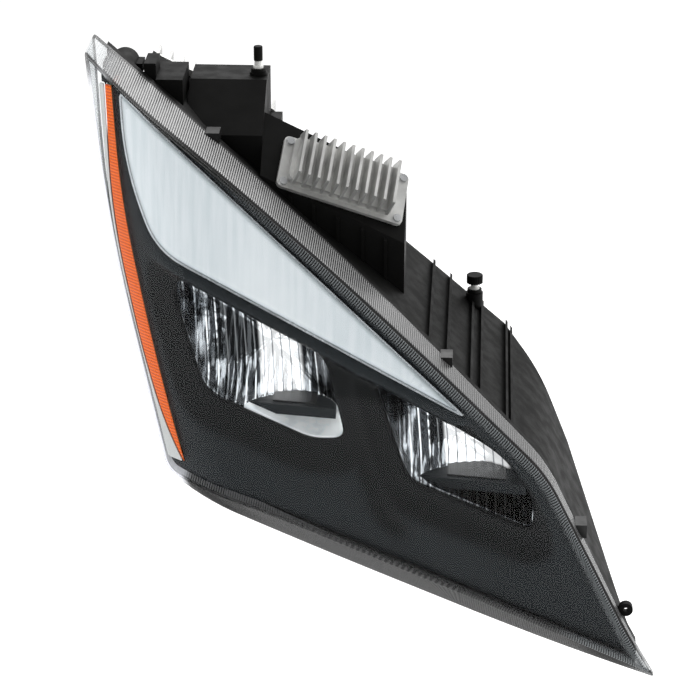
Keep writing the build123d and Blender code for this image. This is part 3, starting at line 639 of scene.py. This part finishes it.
def lens_rings():
    """Rings of points from the inside of the streaked border to the rear lip.

    Gives the vertices, each ring's start and edge measure, the flute measure along the rim and
    the innermost ring's points.
    """
    counts = run_counts(fitted(FACE_CORNERS), FLUTE_PITCH / 6)
    insets = (STREAK_BAND, 6.0, 2.5, 0.8, 0.0)
    face_rings = [loop_points(grown(FACE_CORNERS, -inset), counts) for inset in insets]
    rim = loop_points(RIM_CORNERS, counts)
    count = len(rim)
    gaps = [(rim[i] - rim[i - 1]).length for i in range(count)]
    flutes = round(sum(gaps) / FLUTE_PITCH)
    along = np.cumsum(gaps) * flutes * FLUTE_PITCH / sum(gaps)
    wave = FLUTE_DEPTH * np.sin(2 * math.pi * along / FLUTE_PITCH)
    vertices, rows = [], []

    def ring(points, depths, edge, swell=0.0):
        rows.append((len(vertices), edge))
        for index, (point, y) in enumerate(zip(points, depths)):
            outward = (rim[(index + 1) % count] - rim[index - 1]).normalized()
            shift = swell * wave[index]
            vertices.append((point.x + outward.y * shift, y, point.y - outward.x * shift))

    corner_drop = {0.8: 0.6, 0.0: 2.0}
    for inset, points in zip(insets, face_rings):
        ring(points, [face_y(p.x, p.y) + corner_drop.get(inset, 0.0) for p in points], inset)
    edge_points = face_rings[-1]
    step_front = [face_y(p.x, p.y) + RIM_STEP - 0.6 for p in edge_points]
    rim_front = [face_y(p.x, p.y) + RIM_STEP for p in rim]
    rim_back = [max(parting_y(p.x, p.y), front + 1.5) for p, front in zip(rim, rim_front)]
    ring(edge_points, step_front, 0.0)
    ring(rim, rim_front, 0.0)
    for share, swell in ((0.08, 1.0), (0.5, 1.0), (0.93, 1.0), (0.95, 0.0), (1.0, 0.0)):
        ring(rim, [a + (b - a) * share for a, b in zip(rim_front, rim_back)], REAR_LIP, swell)
    return vertices, rows, along, face_rings[0]


def lens_face(vertices, inner_ring):
    """Triangles over the clear middle of the face, sharing the inner ring's vertices."""
    flat, fill = triangulated(inner_ring, [], 9.0)
    lookup = {(round(x, 3), round(z, 3)): index for index, (x, z) in enumerate(map(tuple, inner_ring))}
    place = {}
    for face in fill:
        for index in face:
            if index in place:
                continue
            x, z = flat[index]
            known = lookup.get((round(float(x), 3), round(float(z), 3)))
            if known is None:
                known = len(vertices)
                vertices.append((float(x), float(face_y(x, z)), float(z)))
            place[index] = known
    return [tuple(place[i] for i in face) for face in fill]


def build_lens():
    """Clear cup: crowned face, rolled corner, fluted wall, stepped rim and lip."""
    vertices, rows, along, inner_ring = lens_rings()
    count = len(inner_ring)
    faces, kinds = [], []
    clear, fluted, band = 0, 1, 2
    ring_kinds = [clear, clear, clear, clear, band, band, fluted, fluted, fluted, band, band]
    for index, kind in enumerate(ring_kinds):
        made = ring_faces(rows[index][0], rows[index + 1][0], count)
        faces += made
        kinds += [kind] * len(made)
    fill = lens_face(vertices, inner_ring)
    faces += fill
    kinds += [clear] * len(fill)
    materials = [MATERIALS["clear_lens"], fluted_wall_material(), rim_band_material()]
    obj = new_piece("lens_shell", vertices, faces, materials, "lamp_housing")
    edges = [STREAK_BAND * 3] * len(vertices)
    lengths = [0.0] * len(vertices)
    for start, edge in rows:
        for index in range(count):
            edges[start + index] = edge
            lengths[start + index] = float(along[index])
    store(obj, "edge", edges)
    store(obj, "along", lengths)
    for polygon, kind in zip(obj.data.polygons, kinds):
        polygon.material_index = kind
    mesh = bmesh.new()
    mesh.from_mesh(obj.data)
    bmesh.ops.recalc_face_normals(mesh, faces=mesh.faces)
    mesh.to_mesh(obj.data)
    mesh.free()
    thicken(obj, LENS_WALL)
    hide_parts("lens")


# ================================================================== bezel and light guide
def bezel_depth(points):
    """Raised band under the light guide, pockets round the bowls and a valley between them."""
    near_bowl = np.minimum(distance(points, outline(LOW_CORNERS)), distance(points, outline(HIGH_CORNERS)))
    band = 1 - smooth(16.0, 19.0, distance(points, outline(DRL_CORNERS)))
    pocket = 1 - smooth(10.0, 40.0, near_bowl)
    rim = 1 - smooth(14.0, 40.0, distance(points, outline(FACE_CORNERS)))
    valley = np.exp(-((points[:, 0] - 14 + 0.35 * (points[:, 1] + 60)) / 13.0) ** 2)
    sunk = np.maximum(pocket * 6.0, valley * 3.5)
    return BEZEL_DEPTH + (1 - band) * (sunk * (1 - rim * 0.8) + 1.5 * (1 - rim))


def build_bezel():
    outer = outline(FACE_CORNERS, -6.5, 3.0)
    outer = [Vector((min(max(p.x, HOUSING_LEFT + 3), HOUSING_RIGHT - 3), p.y)) for p in outer]
    holes = [outline(DRL_CORNERS, 2.5), outline(AMBER_CORNERS, 0.6), outline(STRIP_CORNERS, 0.6),
             outline(LOW_CORNERS), outline(HIGH_CORNERS)]
    obj = sheet_piece("bezel_panel", outer, holes, bezel_depth, 4.0, MATERIALS["bezel_black"],
                      "lamp_housing")
    flat = np.array([(v.co.x / MM, v.co.z / MM) for v in obj.data.vertices])
    # The depth below the raised band, which the bezel's material turns into painted shade in the pockets.
    store(obj, "sunk", bezel_depth(flat) - BEZEL_DEPTH)
    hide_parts("bezel")


def build_light_guide():
    """Light guide with a rounded border."""
    outer = outline(DRL_CORNERS, 0, 2.0)
    rounding = 3.0

    def depth(points):
        edge = np.clip(distance(points, outer) / rounding, 0, 1)
        return DRL_DEPTH + rounding * (1 - np.sqrt(1 - (1 - edge) ** 2)) * 0.8

    rings = [outline(DRL_CORNERS, -inset, 2.0) for inset in (0.4, 1.2, 3.0)]
    obj = sheet_piece("light_guide_panel", outer, [], depth, 5.0, MATERIALS["light_guide"],
                      "lamp_housing", rings, 3.0)
    flat = [(v.co.x / MM, v.co.z / MM) for v in obj.data.vertices]
    store(obj, "edge", distance(flat, outer))
    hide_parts("drl_light_guide")


# ================================================================== reflectors
def bowl(name, corners, centre, depth, flute, node, body, zone_x, zone_z, split):
    """Fluted bowl: its rim follows the bezel's opening, and scalloped flutes run up and down."""
    rim = outline(corners, -0.3, 1.6)
    rows = BOWL_ROWS
    middle = Vector(centre)
    vertices, faces, kinds = [], [], []
    for row in range(rows):
        share = row / (rows - 1)
        scale = math.cos(share * math.pi / 2) ** 0.75
        for point in rim:
            spot = middle + (point - middle) * max(scale, 0.002)
            y = face_y(point.x, point.y) * scale + face_y(*middle) * (1 - scale)
            back = depth * math.sqrt(max(1 - scale ** 2, 0))
            scallop = abs(math.sin(math.pi * spot.x / flute)) * 1.6 * min(share * 4, 1)
            vertices.append((spot.x, y + CUP_FRONT + back - scallop, spot.y))
    for row in range(rows - 1):
        faces += ring_faces(row * len(rim), (row + 1) * len(rim), len(rim))
    faces.append(tuple(range((rows - 1) * len(rim), rows * len(rim))))
    for face in faces:
        height = sum(vertices[i][2] for i in face) / len(face)
        kinds.append(1 if height < split else 0)
    materials = [chrome_material(name + "_chrome", zone_x, zone_z, flute), MATERIALS["chrome_reflector"]]
    obj = new_piece(name, vertices, faces, materials, body)
    for polygon, kind in zip(obj.data.polygons, kinds):
        polygon.material_index = kind
    face_same_way(obj, Vector((0, -1, 0)))
    thicken(obj, BOWL_WALL)
    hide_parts(node)


def build_reflectors():
    # The last arguments give each bowl's painted highlight zone, as a slanted x span and its lower z, and the
    # height below which the bowl takes the satin material with its painted glow.
    bowl("low_bowl", LOW_CORNERS, (-80, 0), 60.0, 9.0, "low_reflector", "low_beam_unit",
         (-0.093, -0.052), (-0.046, 0.1), -46)
    bowl("high_bowl", HIGH_CORNERS, (108, -80), 60.0, 9.0, "high_reflector", "high_beam_unit",
         (0.088, 0.150), (-0.106, 0.1), -300)


# ================================================================== stage
PHOTO_AZIMUTH, PHOTO_ELEVATION = math.radians(3.0), math.radians(24.0)
PHOTO_DISTANCE = 2600.0
PHOTO_TARGET = Vector((0, -200, 0))
PHOTO_LENS, SENSOR = 133.7, 36.0


def add_camera():
    back = Vector((math.sin(PHOTO_AZIMUTH) * math.cos(PHOTO_ELEVATION),
                   -math.cos(PHOTO_AZIMUTH) * math.cos(PHOTO_ELEVATION), math.sin(PHOTO_ELEVATION)))
    data = bpy.data.cameras.new("camera")
    data.lens, data.sensor_width = PHOTO_LENS, SENSOR
    camera = bpy.data.objects.new("camera", data)
    camera.location = (PHOTO_TARGET + back * PHOTO_DISTANCE) * MM
    camera.rotation_euler = back.to_track_quat("Z", "Y").to_euler()
    bpy.context.scene.collection.objects.link(camera)
    bpy.context.scene.camera = camera


def add_light(name, place, energy, size, mirrored=True):
    data = bpy.data.lights.new(name, "AREA")
    data.energy, data.size = energy, size
    light = bpy.data.objects.new(name, data)
    light.location = place
    light.rotation_euler = (Vector(place) - PHOTO_TARGET * MM).to_track_quat("Z", "Y").to_euler()
    light.visible_glossy = mirrored
    bpy.context.scene.collection.objects.link(light)


def add_world():
    """White behind and above the lamp, greyer in front, so that black plastic keeps its depth."""
    world = bpy.data.worlds.new("studio")
    world.use_nodes = True
    tree = world.node_tree
    coordinates = tree.nodes.new("ShaderNodeTexCoord")
    split = tree.nodes.new("ShaderNodeSeparateXYZ")
    fade = tree.nodes.new("ShaderNodeMapRange")
    tree.links.new(coordinates.outputs["Generated"], split.inputs[0])
    tree.links.new(split.outputs["Y"], fade.inputs[0])
    front, behind, front_strength, behind_strength = -0.3, 0.5, 0.24, 1.05
    for socket, value in zip(fade.inputs[1:5], (front, behind, front_strength, behind_strength)):
        socket.default_value = value
    tree.links.new(fade.outputs[0], tree.nodes["Background"].inputs["Strength"])
    tree.nodes["Background"].inputs["Color"].default_value = (1, 1, 1, 1)
    bpy.context.scene.world = world


def add_floor():
    n = Nodes("floor_pale")
    cloud = n.noise(1.5, 2.0)
    shader = n.surface(Base_Color=n.mix(cloud, grey(0.93), grey(0.95)), Roughness=0.9)
    n.feed(shader.inputs["Emission Color"], (1, 1, 1, 1))
    shader.inputs["Emission Strength"].default_value = 0.45
    half, below = 8.0, 0.75
    mesh = bpy.data.meshes.new("floor")
    corners = [(-half, -half), (half, -half), (half, half), (-half, half)]
    mesh.from_pydata([(x, y, -below) for x, y in corners], [], [(0, 1, 2, 3)])
    mesh.materials.append(n.done(shader))
    floor = bpy.data.objects.new("floor", mesh)
    bpy.context.scene.collection.objects.link(floor)


def build_stage():
    add_camera()
    add_world()
    add_floor()
    add_light("key", (-1.2, -1.6, 1.9), 20.0, 2.4)
    add_light("side", (2.0, 0.3, 0.7), 45.0, 2.4, mirrored=False)
    add_light("back", (0.3, 1.6, 1.6), 16.0, 1.4)
    bpy.context.scene.view_settings.view_transform = "Standard"


build_stage()
dress_cad_nodes()
build_lens()
build_bezel()
build_light_guide()
build_reflectors()
